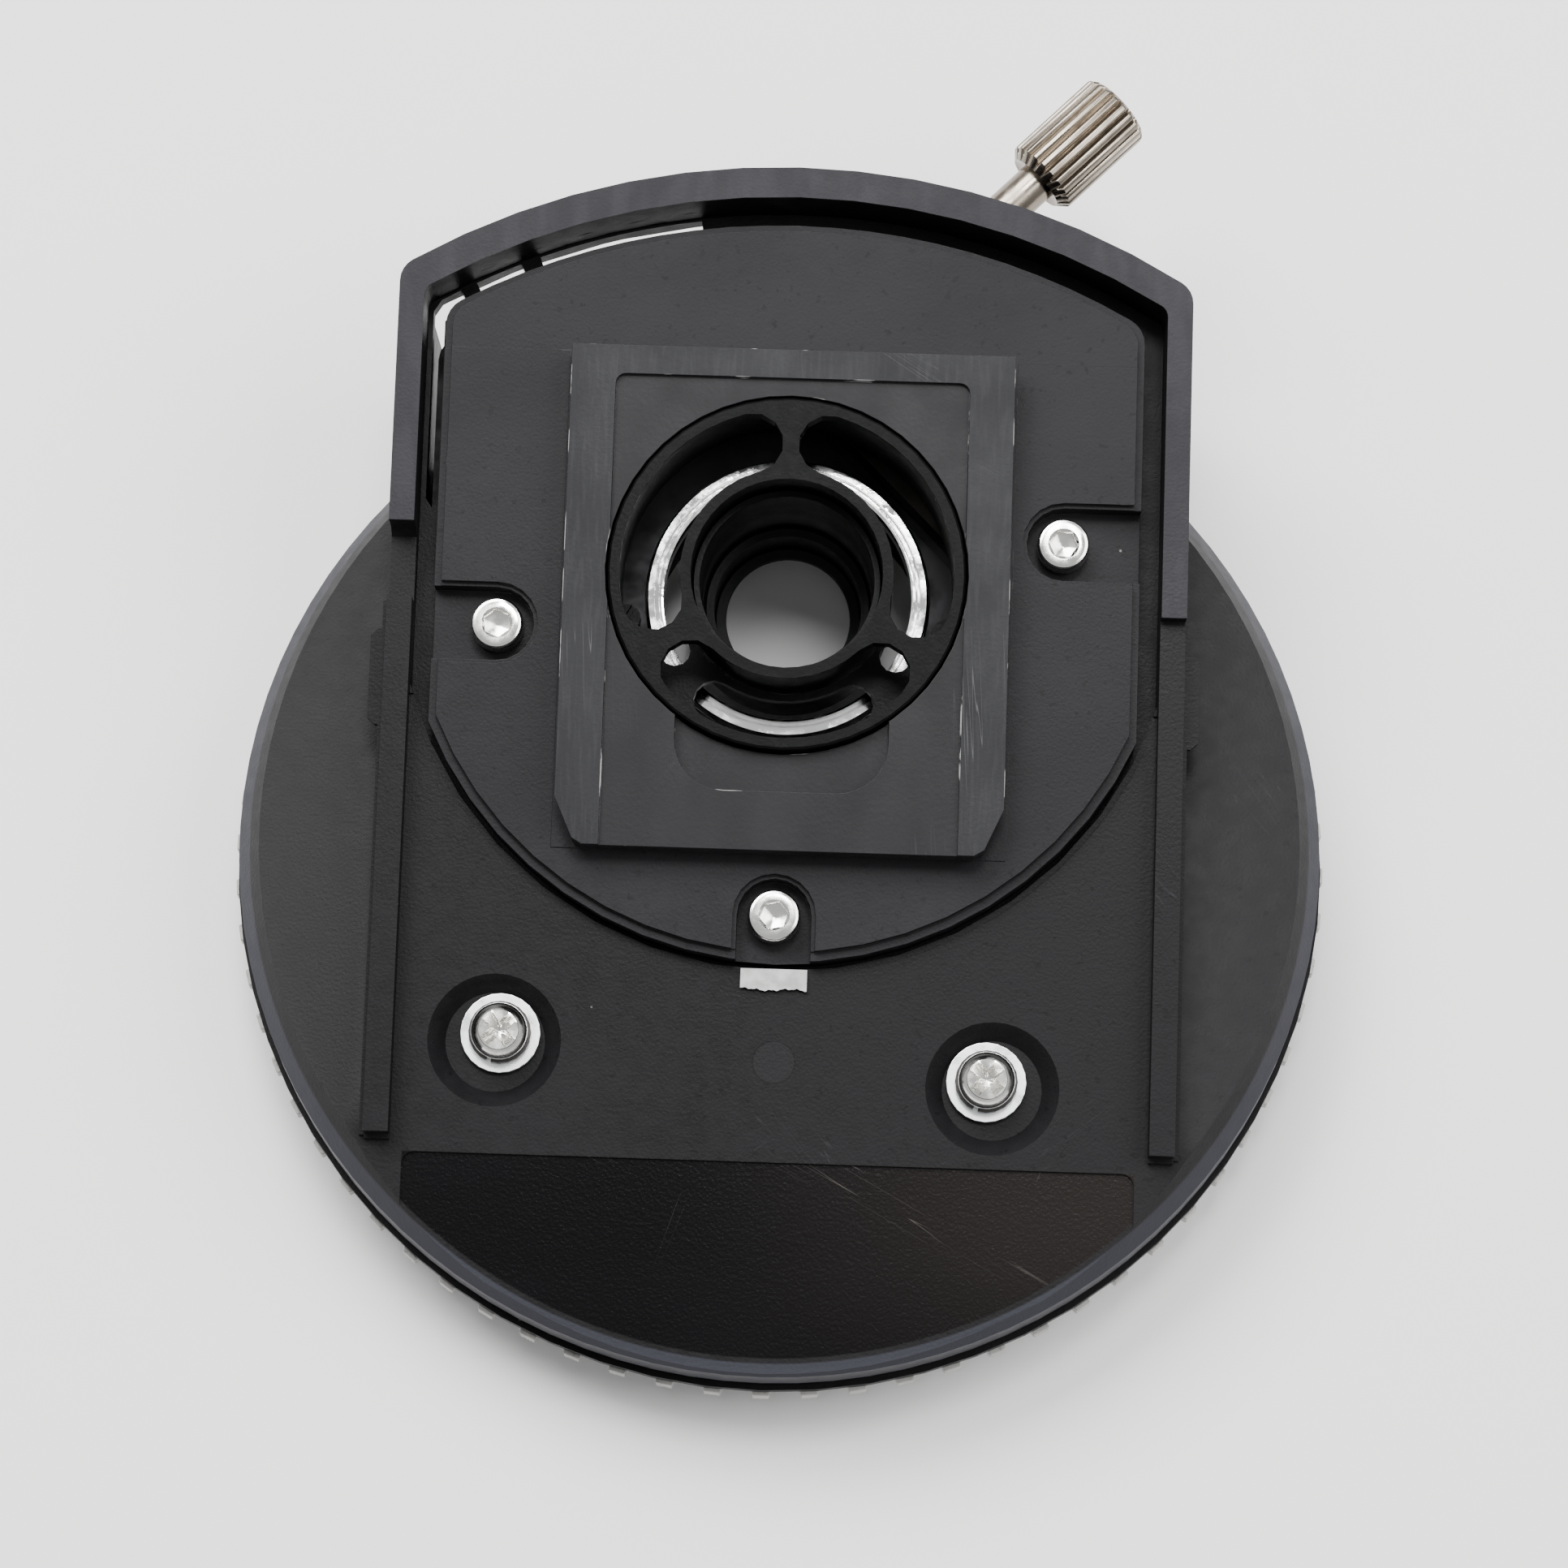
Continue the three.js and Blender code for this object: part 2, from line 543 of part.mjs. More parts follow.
function supportFrame() {
  const tilted = slab([
    new THREE.Vector2(-43.9, 44),
    new THREE.Vector2(43.9, 44),
    ...arc(40.9, 95, 3, 0, 90, 4),
    ...arc(-40.9, 95, 3, 90, 180, 4),
  ], -15.6, -12.6, SLOPE);
  const flat = slab([
    ...arc(0, 0, 58.5, 190, 232, 8),
    ...arc(0, 0, 58.5, 308, 350, 8),
    new THREE.Vector2(43, 12),
    new THREE.Vector2(-43, 12),
  ], 12.4, 15.2);
  const collar = rod(22.6, -13, -9.6, 40, 0, TUBE_V, SLOPE);
  const hub = rod(9.6, 9.3, 15, 32);
  const capPosts = CAP_SCREWS.map((s) => rod(4.5, -13, PLATE_BOTTOM - GAP, 16, s.x, s.v, SLOPE));
  const coverPosts = COVER_SCREWS.map((s) => rod(4.2, -8, -3.7, 16, s.x, s.v, SLOPE));
  const lowPost = rod(5.2, -13.4, -9, 16, CAP_SCREWS[2].x, CAP_SCREWS[2].v, SLOPE);

  let frame = union(tilted, flat, collar, hub, lowPost, ...capPosts, ...coverPosts);
  frame = cut(
    frame,
    rod(RING_R - 3.9, -20, 0, 48, 0, TUBE_V, SLOPE),
    rod(7.1, 5, 25, 32),
    box(-40, 40, -SHOE_REACH - 5, -SHOE_REACH + 1.4, -12.4, 0, shoeFrame()),
  );
  for (const s of CAP_SCREWS) {
    frame = frame.subtract(rod(1.9, -11.6, 0, 12, s.x, s.v, SLOPE));
  }
  for (const s of COVER_SCREWS) {
    frame = frame.subtract(rod(2.3, -9, 0, 12, s.x, s.v, SLOPE));
  }
  for (const s of RING_SCREWS) {
    const [x, v] = ringScrewPlace(s);
    frame = frame.subtract(rod(1.3, -14, -9, 12, x, v, SLOPE));
  }
  const { x, y, ballZ } = DETENT;
  return cut(frame, rod(1.8, 5, ballZ + 6, 16, x, y), rod(2.6, ballZ + 3, 25, 16, x, y));
}

// Y of this frame points from the tube's axis away from the clamp shoe.
function shoeFrame() {
  return SLOPE.clone().multiply(turnedAt(0, TUBE_V, 135));
}

// ---- clamp -------------------------------------------------------------------------

function clampShoe() {
  const matrix = turnedAt(0, TUBE_V, 135);
  const near = -SHOE_REACH - 3;
  const plate = box(-10, 22, near, -SHOE_REACH, -12, -6.2, matrix);
  const foot = box(14, 20.4, near - 2, near + 1, -11.6, -6.4, matrix);
  return plate.add(foot);
}

function clampSpindle() {
  return turned([
    [0, -CLAMP_REACH], [SPINDLE_R - 0.4, -CLAMP_REACH], [SPINDLE_R, -CLAMP_REACH + 0.6],
    [SPINDLE_R, KNOB_L - 2], [0, KNOB_L - 2],
  ], 20);
}

function clampKnob() {
  const pitch = 360 / KNOB_FLUTES;
  const outline = [];
  for (let i = 0; i < KNOB_FLUTES; i += 1) {
    const a = i * pitch;
    outline.push(polar(KNOB_R, a - 0.3 * pitch), polar(KNOB_R, a + 0.3 * pitch));
    outline.push(polar(KNOB_R - 0.5, a + 0.5 * pitch));
  }
  const fluted = slab(outline, 0, KNOB_L);
  const chamfered = turned([
    [0, 0], [KNOB_R - 0.5, 0], [KNOB_R, 0.5], [KNOB_R, KNOB_L - 0.7], [KNOB_R - 0.9, KNOB_L], [0, KNOB_L],
  ], 32);
  return fluted.intersect(chamfered).subtract(rod(SPINDLE_R + 0.3, -1, KNOB_L - 1.7, 20));
}

function clampBush() {
  return turned([
    [SPINDLE_R + GAP, -16.5], [4.85, -16.5], [4.85, -9.9], [SPINDLE_R + GAP, -9.9],
  ], 20);
}

// ---- round table -------------------------------------------------------------------

function tableDisc() {
  let disc = turned([
    [0, 0], [TABLE_R, 0], [DRUM_R, 5.5], [DRUM_R, FLANGE_Z], [FLANGE_R, FLANGE_Z],
    [FLANGE_R, TABLE_RIM_Z], [TABLE_R, TABLE_RIM_Z], [TABLE_R, TABLE_T], [13.4, TABLE_T], [13.4, HUB_Z],
    [12.4, HUB_Z], [12, TRACK_Z], [9.5, TRACK_Z], [9.1, HUB_Z], [AXLE_R + GAP, HUB_Z],
    [AXLE_R + GAP, 2.3], [0, 2.3],
  ], 64);
  const reach = Math.hypot(DETENT.x, DETENT.y);
  for (let i = 0; i < STATIONS; i += 1) {
    const a = THREE.MathUtils.degToRad(90 + i * 360 / STATIONS);
    const [x, y] = [STATION_AT * Math.cos(a), STATION_AT * Math.sin(a)];
    disc = disc.subtract(turned([
      [0, -1], [STATION_R + 1.6, -1], [STATION_R, 0.6], [STATION_R, 6], [0, 6],
    ], 32, x, y));
    const d = a + Math.PI / 4;
    disc = disc.subtract(turned([
      [0, TRACK_Z - 0.9], [1.25, TRACK_Z], [1.25, HUB_Z + 1], [0, HUB_Z + 1],
    ], 10, reach * Math.cos(d), reach * Math.sin(d)));
  }
  return disc;
}

function gripRing() {
  const pitch = 360 / RIB_COUNT;
  const outline = [];
  for (let i = 0; i < RIB_COUNT; i += 1) {
    const a = i * pitch;
    outline.push(polar(GRIP_ROOT, a - 1.25), polar(GRIP_TIP, a - 0.85));
    outline.push(polar(GRIP_TIP, a + 0.85), polar(GRIP_ROOT, a + 1.25));
  }
  const shape = new THREE.Shape(outline);
  shape.holes.push(new THREE.Path(arc(0, 0, DRUM_R + GAP, 360, 7.5, 47)));
  const settings = { depth: FLANGE_Z - GAP - GRIP_Z, bevelEnabled: false };
  return solid(new THREE.ExtrudeGeometry(shape, settings).translate(0, 0, GRIP_Z));
}

function detentSpring() {
  const { x, y, ballR, ballZ } = DETENT;
  const turns = 3;
  const height = 3.6;
  const points = [];
  for (let i = 0; i <= turns * 8; i += 1) {
    const t = i / (turns * 8);
    const a = t * turns * TAU;
    points.push(new THREE.Vector3(1.15 * Math.cos(a), 1.15 * Math.sin(a), t * height));
  }
  const wire = new THREE.Shape(arc(0, 0, 0.2, 0, 270, 3));
  const extrudePath = new THREE.CatmullRomCurve3(points);
  const settings = { steps: turns * 10, bevelEnabled: false, extrudePath };
  const geometry = new THREE.ExtrudeGeometry(wire, settings);
  return solid(geometry.translate(x, y, ballZ + ballR + 0.4));
}

// ---- assembly ----------------------------------------------------------------------
node(rotaryTable, 'housing_cover', housingCover(), BLACK);
node(sloping, 'mount_plate', mountPlate(), PLATE_BLACK);
node(sloping, 'dovetail_block', dovetailBlock(), ANODISED);
node(sloping, 'light_tube', lightTube(), BLACK);
node(sloping, 'tube_sleeve', tubeSleeve(), BLACK);
node(sloping, 'window_plate', windowPlate(), BLACK);
node(sloping, 'chrome_ring', chromeRing(), STEEL);
node(rotaryTable, 'support_frame', supportFrame(), FRAME_GREY);

for (const s of RING_SCREWS) {
  node(sloping, `ring_screw_${s.name}`, ringScrew(s), BLACK);
}
for (const s of CAP_SCREWS) {
  node(sloping, `mount_screw_${s.name}`, capScrew(s.x, s.v), STEEL);
}
blockScrews().forEach(([x, v], i) => {
  node(sloping, `block_screw_${i + 1}`, blockScrew(x, v), STEEL);
});
for (const s of COVER_SCREWS) {
  node(sloping, `cover_screw_${s.name}`, panScrew(s.x, s.v), STEEL);
  node(sloping, `cover_lockwasher_${s.name}`, lockWasher(s.x, s.v), STEEL);
  node(sloping, `cover_washer_${s.name}`, pipe(2.4, 4.75, -1.95, -1.35, 24, s.x, s.v), STEEL);
}
node(sloping, 'strip_tab', box(-3.95, 3.9, 16.5, 19.2, 0.3, 0.6), LIGHT_GREY);

const clamp = new THREE.Group();
clamp.applyMatrix4(CLAMP);
sloping.add(clamp);
node(sloping, 'clamp_shoe', clampShoe(), ANODISED);
node(clamp, 'clamp_spindle', clampSpindle(), NICKEL);
node(clamp, 'clamp_knob', clampKnob(), NICKEL);
node(clamp, 'clamp_bush', clampBush(), STEEL);

node(rotaryTable, 'table_disc', tableDisc(), BLACK);
node(rotaryTable, 'grip_ring', gripRing(), BLACK);
node(rotaryTable, 'pivot_axle', turned([
  [0, 2.6], [AXLE_R, 2.6], [AXLE_R, 16], [3.2, 16], [3.2, 19], [0, 19],
], 24), STEEL);
node(rotaryTable, 'axle_nut', rod(6.4, 16.3, 18.5, 6).subtract(rod(3.5, 16, 19, 20)), STEEL);
node(rotaryTable, 'wave_washer', pipe(AXLE_R + GAP, 6.7, 15.3, 15.8, 24), STEEL);
node(rotaryTable, 'hub_bush', pipe(AXLE_R + GAP, 6.8, 9.4, 15, 24), NICKEL);
node(rotaryTable, 'thrust_washer', pipe(AXLE_R + GAP, 8.9, 8.7, 9, 24), STEEL);

const { x: ballX, y: ballY, ballR, ballZ } = DETENT;
const ball = new THREE.SphereGeometry(ballR, 12, 8).translate(ballX, ballY, ballZ);
node(rotaryTable, 'detent_ball', solid(ball), STEEL);
node(rotaryTable, 'detent_spring', detentSpring(), STEEL);
const plugZ = ballZ + ballR + 4.6;
node(rotaryTable, 'detent_screw', rod(2.3, plugZ, plugZ + 1.6, 20, ballX, ballY), STEEL);

export default rotaryTable;
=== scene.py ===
"""Rotary table with a dovetail mount, lying on its round table, on a plain pale floor.

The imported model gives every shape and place. This script gives the surfaces, the small turned
pieces with their sockets, flutes and grooves, the floor, the light and the camera. Metres.
"""
import json
import math

import bmesh
import bpy
from mathutils import Matrix, Vector

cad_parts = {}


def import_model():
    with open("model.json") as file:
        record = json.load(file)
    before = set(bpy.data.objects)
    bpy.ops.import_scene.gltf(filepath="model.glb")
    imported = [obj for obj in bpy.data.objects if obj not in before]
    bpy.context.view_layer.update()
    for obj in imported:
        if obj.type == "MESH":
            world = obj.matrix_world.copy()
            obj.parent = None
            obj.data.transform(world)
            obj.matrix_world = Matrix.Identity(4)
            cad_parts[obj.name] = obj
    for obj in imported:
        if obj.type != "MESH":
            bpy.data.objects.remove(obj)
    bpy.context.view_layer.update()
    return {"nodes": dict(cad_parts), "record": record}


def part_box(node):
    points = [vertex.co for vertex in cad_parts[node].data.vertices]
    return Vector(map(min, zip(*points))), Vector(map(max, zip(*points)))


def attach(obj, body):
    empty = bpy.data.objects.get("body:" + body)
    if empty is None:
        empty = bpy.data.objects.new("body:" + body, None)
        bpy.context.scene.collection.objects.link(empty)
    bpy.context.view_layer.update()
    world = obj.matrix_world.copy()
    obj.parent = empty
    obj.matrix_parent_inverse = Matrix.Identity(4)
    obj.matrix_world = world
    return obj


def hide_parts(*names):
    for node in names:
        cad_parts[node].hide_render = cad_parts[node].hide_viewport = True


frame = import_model()
nodes = frame["nodes"]
record = frame["record"]

MM = 0.001

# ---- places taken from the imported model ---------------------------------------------
mounts = {m["name"]: m for m in record["mounts"]}
joints = {j["name"]: j for j in record["behaviour"]["joints"]}


def frame_at(origin, normal):
    """A frame at origin whose Z runs along normal and whose X lies level."""
    z = Vector(normal).normalized()
    x = Vector((0, 1, 0)).cross(z) if abs(z.y) < 0.9 else Vector((1, 0, 0))
    x.normalize()
    y = z.cross(x)
    return Matrix.Translation(Vector(origin)) @ Matrix((x, y, z)).transposed().to_4x4()


SLOPE = frame_at(mounts["dovetail_face"]["pos_m"], mounts["dovetail_face"]["axis"])
LEVEL = Matrix.Identity(4)


def local_box(node, place):
    """Lowest and highest corner of a node in place's frame."""
    inverse = place.inverted()
    points = [inverse @ v.co for v in nodes[node].data.vertices]
    lo = Vector([min(p[i] for p in points) for i in range(3)])
    hi = Vector([max(p[i] for p in points) for i in range(3)])
    return lo, hi


def on_slope(node):
    """A frame on the node's own axis, at its low end, square to the sloping plane."""
    lo, hi = local_box(node, SLOPE)
    middle = Vector(((lo.x + hi.x) / 2, (lo.y + hi.y) / 2, lo.z))
    return SLOPE @ Matrix.Translation(middle), hi - lo


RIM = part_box("housing_cover")[1].x
WALL_TOP = local_box("housing_cover", SLOPE)[1].z
PLATE_HALF = local_box("mount_plate", SLOPE)[1].x


# ---- node helpers -------------------------------------------------------------------
class Surface:
    """A material with one Principled shader, and short calls for its nodes."""

    def __init__(self, name, color, roughness, metallic=0.0, specular=0.5):
        self.material = bpy.data.materials.new(name)
        self.material.use_nodes = True
        self.tree = self.material.node_tree
        self.shader = self.tree.nodes["Principled BSDF"]
        self.shader.inputs["Base Color"].default_value = (*color, 1)
        self.shader.inputs["Roughness"].default_value = roughness
        self.shader.inputs["Metallic"].default_value = metallic
        self.shader.inputs["Specular IOR Level"].default_value = specular
        self.position = self.add("ShaderNodeTexCoord").outputs["Object"]

    def add(self, kind, **settings):
        node = self.tree.nodes.new(kind)
        for key, value in settings.items():
            setattr(node, key, value)
        return node

    def link(self, source, target):
        self.tree.links.new(source, target)

    def placed(self, place, size=(1, 1, 1), turn=0.0):
        """Coordinates in a frame turned about its Z, in units of size along each axis."""
        node = self.add("ShaderNodeMapping", vector_type="TEXTURE")
        turned_place = place @ Matrix.Rotation(math.radians(turn), 4, "Z")
        node.inputs["Location"].default_value = turned_place.to_translation()
        node.inputs["Rotation"].default_value = turned_place.to_euler()
        node.inputs["Scale"].default_value = size
        self.link(self.position, node.inputs["Vector"])
        return node.outputs["Vector"]

    def axes(self, vector):
        node = self.add("ShaderNodeSeparateXYZ")
        self.link(vector, node.inputs[0])
        return tuple(node.outputs)

    def noise(self, scale, detail=2.0, vector=None):
        node = self.add("ShaderNodeTexNoise")
        node.inputs["Scale"].default_value = scale
        node.inputs["Detail"].default_value = detail
        self.link(vector or self.position, node.inputs["Vector"])
        return node.outputs["Fac"]

    def voronoi(self, scale):
        node = self.add("ShaderNodeTexVoronoi")
        node.inputs["Scale"].default_value = scale
        self.link(self.position, node.inputs["Vector"])
        return node.outputs

    def span(self, value, low, high, to_low=0.0, to_high=1.0):
        """Runs smoothly from to_low to to_high as value goes from low to high."""
        node = self.add("ShaderNodeMapRange", interpolation_type="SMOOTHSTEP")
        self.link(value, node.inputs["Value"])
        limits = {"From Min": low, "From Max": high, "To Min": to_low, "To Max": to_high}
        for key, number in limits.items():
            node.inputs[key].default_value = number
        return node.outputs["Result"]

    def math(self, operation, a, b=None):
        node = self.add("ShaderNodeMath", operation=operation)
        for i, value in enumerate((a, b)):
            if isinstance(value, (int, float)):
                node.inputs[i].default_value = value
            elif value is not None:
                self.link(value, node.inputs[i])
        return node.outputs["Value"]

    def times(self, *values):
        product = values[0]
        for value in values[1:]:
            product = self.math("MULTIPLY", product, value)
        return product

    def largest(self, *values):
        top = values[0]
        for value in values[1:]:
            top = self.math("MAXIMUM", top, value)
        return top

    def mix(self, factor, a, b):
        """Mixes two colours, each an output or three numbers."""
        node = self.add("ShaderNodeMix", data_type="RGBA")
        self.link(factor, node.inputs[0])
        for socket, value in ((node.inputs[6], a), (node.inputs[7], b)):
            if isinstance(value, tuple):
                socket.default_value = (*value, 1)
            else:
                self.link(value, socket)
        return node.outputs[2]

    def mix_number(self, factor, a, b):
        node = self.add("ShaderNodeMix", data_type="FLOAT")
        self.link(factor, node.inputs[0])
        for socket, value in ((node.inputs[2], a), (node.inputs[3], b)):
            if isinstance(value, (int, float)):
                socket.default_value = value
            else:
                self.link(value, socket)
        return node.outputs[0]

    def set(self, socket, output):
        self.link(output, self.shader.inputs[socket])

    def bump(self, height, distance, strength=1.0):
        node = self.add("ShaderNodeBump")
        node.inputs["Distance"].default_value = distance
        node.inputs["Strength"].default_value = strength
        self.link(height, node.inputs["Height"])
        self.link(node.outputs["Normal"], self.shader.inputs["Normal"])

    def hairlines(self, turn, width=0.01, cover=0.6):
        """Thin broken scratches that run at one angle across the sloping plane."""
        along = self.placed(SLOPE, (1.1 * MM, 45 * MM, 4 * MM), turn)
        lines = self.noise(1, 1, along)
        line = self.span(self.math("ABSOLUTE", self.math("SUBTRACT", lines, 0.5)), 0, width, 1, 0)
        shifted = self.placed(SLOPE, (16 * MM, 26 * MM, 16 * MM), turn)
        patches = self.span(self.noise(1, 2, shifted), cover, cover + 0.08)
        return self.times(line, patches)

    def dust(self, pitch, share, size):
        """Small specks, about one in each chosen cell of the given pitch."""
        cells = self.voronoi(1 / pitch)
        dot = self.span(cells["Distance"], size * 0.6, size, 1, 0)
        tones = self.axes(cells["Color"])
        return self.times(dot, self.math("LESS_THAN", tones[0], share))

    def disc(self, centre, radius, soft):
        """1 inside a sphere about centre, which leaves a disc on any plane through it."""
        node = self.add("ShaderNodeVectorMath", operation="DISTANCE")
        self.link(self.position, node.inputs[0])
        node.inputs[1].default_value = centre
        return self.span(node.outputs["Value"], radius - soft, radius, 1, 0)


def tint(color, factor):
    return tuple(min(1.0, c * factor) for c in color)


# ---- materials ----------------------------------------------------------------------
def moulded(name, color, roughness, scuffed=0.3, dusty=0.5, specular=0.1):
    """Black moulded plastic: fine grain, uneven sheen, hairline scratches and specks of dust."""
    s = Surface(name, color, roughness, specular=specular)
    cloud = s.noise(26, 5)
    mottle = s.noise(480, 4)
    s.base = s.mix(s.span(cloud, 0.3, 0.7), tint(color, 0.84), tint(color, 1.16))
    s.base = s.mix(s.span(mottle, 0.35, 0.7, 0, 0.35), s.base, tint(color, 1.5))
    scuffs = s.largest(s.hairlines(38, 0.008, 0.64), s.hairlines(-52, 0.006, 0.66))
    s.base = s.mix(s.times(scuffs, scuffed), s.base, tint(color, 4.5))
    s.base = s.mix(s.times(s.dust(3.6 * MM, 0.06, 0.06), dusty), s.base, (0.22, 0.215, 0.205))
    pits = s.span(s.noise(900, 2), 0.30, 0.36, 0.5, 0)
    s.base = s.mix(pits, s.base, tint(color, 0.4))
    s.rough = s.span(cloud, 0.25, 0.75, roughness - 0.04, roughness + 0.06)
    s.rough = s.math("ADD", s.rough, s.span(mottle, 0.3, 0.7, -0.03, 0.03))
    s.set("Base Color", s.base)
    s.set("Roughness", s.rough)
    s.bump(s.noise(2600, 2), 0.03 * MM)
    return s


def metal(name, color, roughness, grime=0.3, grain=0.01):
    """Bare metal with fine turning marks, uneven polish and a little grime."""
    s = Surface(name, color, roughness, metallic=1.0)
    cloud = s.noise(300, 4)
    dirt = s.span(cloud, 0.5, 0.75, 0, grime)
    s.set("Base Color", s.mix(dirt, color, tint(color, 0.45)))
    marks = s.noise(1, 2, s.placed(SLOPE, (1.1 * MM, 1.1 * MM, 0.19 * MM)))
    rough = s.span(cloud, 0.3, 0.7, roughness - 0.05, roughness + 0.1)
    s.set("Roughness", s.math("ADD", rough, s.span(marks, 0.3, 0.7, -0.04, 0.04)))
    s.bump(marks, grain * MM)
    return s


def ejector_marks(s, base, color):
    """Faint discs that the moulding pins leave on the pocket floor, beside the cover screws."""
    radius = 3.16 * MM
    outer = PLATE_HALF - 1.7 * MM
    foot = on_slope("cover_washer_left")[0].to_translation()
    for across, along in ((-outer, 22.4), (outer, 22.4), (0.3 * MM, -2.6), (outer + MM, -9.9)):
        centre = foot + SLOPE.to_3x3() @ Vector((across - foot.x, along * MM, 0))
        inside = s.disc(centre, radius, 0.1 * MM)
        around = s.disc(centre, radius + 0.12 * MM, 0.1 * MM)
        base = s.mix(s.times(around, 0.6), base, tint(color, 0.3))
        base = s.mix(s.times(inside, 0.7), base, tint(color, 1.9))
    return base


BLACK = (0.0062, 0.0060, 0.0066)
WALL = (0.0172, 0.0166, 0.0196)
# painted reflection: the rim's outer side is painted paler and bluish, standing in for the floor it
# reflects
SKIRT_PAINTED_REFLECTION = (0.0230, 0.0234, 0.0300)
CRESCENT = (0.0135, 0.0145, 0.0160)
STAIN = (0.0055, 0.0056, 0.0062)
LABEL = (0.0012, 0.0010, 0.0013)
# painted reflection: a brownish lightening of the label recess towards its right
LABEL_PAINTED_REFLECTION = (0.0105, 0.0085, 0.0078)
PLATE = (0.0118, 0.0112, 0.0126)
# painted shade: a near-black that stands in for the shade down inside the tube, its windows and the
# sleeve below
PAINTED_SHADE_BLACK = (0.0020, 0.0020, 0.0022)
TUBE_FACE = (0.0030, 0.0030, 0.0031)
TUBE_RUBBED = (0.0065, 0.0065, 0.0066)
BLOCK = (0.0125, 0.0122, 0.0134)
STRIP_DARK = (0.0125, 0.0125, 0.0138)
STRIP_PALE = (0.0178, 0.0178, 0.0195)
STRIP_RUBBED = (0.027, 0.027, 0.029)
BARE = (0.12, 0.12, 0.124)
LABEL_SCRATCH = (0.12, 0.11, 0.10)
LABEL_DUST = (0.55, 0.53, 0.50)
BLOCK_DUST = (0.45, 0.44, 0.42)
GRIP = (0.30, 0.295, 0.28)
PAPER_DARK = (0.30, 0.295, 0.29)
PAPER_PALE = (0.46, 0.455, 0.45)

# mm, in the table's frame
CRESCENT_LOW = 19.6  # just under the crescent faces
LABEL_EDGE = -40.1   # straight edge of the label recess
LABEL_HALF = 43.1    # half its width


def cover_surface():
    """The housing's plastic: pale wall tops and crescents, a painted reflection that makes the rim's
    outer side paler and bluish, and a glossy label recess with a painted reflection that lightens it
    towards the right.
    """
    s = moulded("black_moulding", BLACK, 0.42, scuffed=0.45)
    x, y, z = s.axes(s.position)
    across = s.math("ABSOLUTE", x)
    squares = s.math("ADD", s.times(x, x), s.times(y, y))
    radius = s.math("SQRT", squares)
    low = mounts["table_face"]["pos_m"][2] + CRESCENT_LOW * MM
    on_face = s.span(z, low, low + 0.2 * MM)
    below_slope = s.span(z, low + 0.5 * MM, low + 0.7 * MM, 1, 0)
    height = s.axes(s.placed(SLOPE))[2]
    base = ejector_marks(s, s.base, BLACK)
    wall = s.span(height, WALL_TOP - 0.5 * MM, WALL_TOP - 0.25 * MM)
    rub_marks = s.noise(1, 3, s.placed(SLOPE, (2.2 * MM, 9 * MM, 6 * MM)))
    rubbed = s.span(rub_marks, 0.42, 0.66, 0, 0.5)
    base = s.mix(wall, base, s.mix(rubbed, WALL, tint(WALL, 1.45)))
    side = s.span(across, PLATE_HALF + 5.0 * MM, PLATE_HALF + 5.4 * MM)
    inside = s.span(radius, RIM - 3.1 * MM, RIM - 2.8 * MM, 1, 0)
    streaks = s.noise(75, 4, s.placed(LEVEL, (0.62, 1.4, 1)))
    stain = s.times(s.span(streaks, 0.56, 0.60), s.span(x, RIM - 24 * MM, RIM - 20 * MM), 0.85)
    stain = s.times(stain, s.span(across, RIM - 11 * MM, RIM - 8 * MM, 1, 0))
    pale = s.mix(stain, CRESCENT, STAIN)
    pale = s.mix(s.span(s.noise(60, 4), 0.35, 0.7, 0, 0.3), pale, tint(CRESCENT, 1.35))
    base = s.mix(s.times(side, inside, on_face, below_slope), base, pale)
    # painted reflection on the rim's outer side
    reflection_band = s.times(s.span(radius, RIM - 1.7 * MM, RIM - 1.4 * MM), below_slope)
    reflection_band = s.times(reflection_band, s.span(radius, RIM + 0.3 * MM, RIM + 0.6 * MM, 1, 0))
    base = s.mix(reflection_band, base, SKIRT_PAINTED_REFLECTION)
    below_edge = s.span(y, (LABEL_EDGE - 0.3) * MM, LABEL_EDGE * MM, 1, 0)
    between_ends = s.span(across, (LABEL_HALF - 0.2) * MM, LABEL_HALF * MM, 1, 0)
    label = s.times(below_edge, between_ends)
    label = s.times(label, s.span(radius, RIM - 2.3 * MM, RIM - 2.0 * MM, 1, 0))
    smudge = s.span(s.noise(1, 3, s.placed(LEVEL, (28 * MM, 9 * MM, 9 * MM))), 0.4, 0.7, 0, 0.5)
    scratch = s.largest(s.hairlines(62, 0.010, 0.60), s.hairlines(-20, 0.007, 0.62))
    worn = s.mix(smudge, LABEL, tint(LABEL, 1.8))
    # painted reflection: the label recess lightens towards the right and towards its upper edge
    label_reflection = s.times(s.span(x, -18 * MM, 46 * MM), s.span(y, -66 * MM, -44 * MM, 0.35, 1))
    worn = s.mix(label_reflection, worn, LABEL_PAINTED_REFLECTION)
    worn = s.mix(s.times(scratch, 0.35), worn, LABEL_SCRATCH)
    worn = s.mix(s.times(s.dust(7 * MM, 0.12, 0.035), 0.9), worn, LABEL_DUST)
    s.set("Base Color", s.mix(label, base, worn))
    s.set("Roughness", s.mix_number(label, s.rough, 0.24))
    return s


def plate_surface():
    """The mounting plate's plastic, a little paler than the cover and rubbed near its edges."""
    s = moulded("plate_moulding", PLATE, 0.46, scuffed=0.3, dusty=0.8)
    clouds = s.noise(1, 4, s.placed(SLOPE, (30 * MM, 16 * MM, 16 * MM), 24))
    shade = s.span(clouds, 0.35, 0.7, 0, 0.55)
    s.set("Base Color", s.mix(shade, s.base, tint(PLATE, 0.62)))
    return s


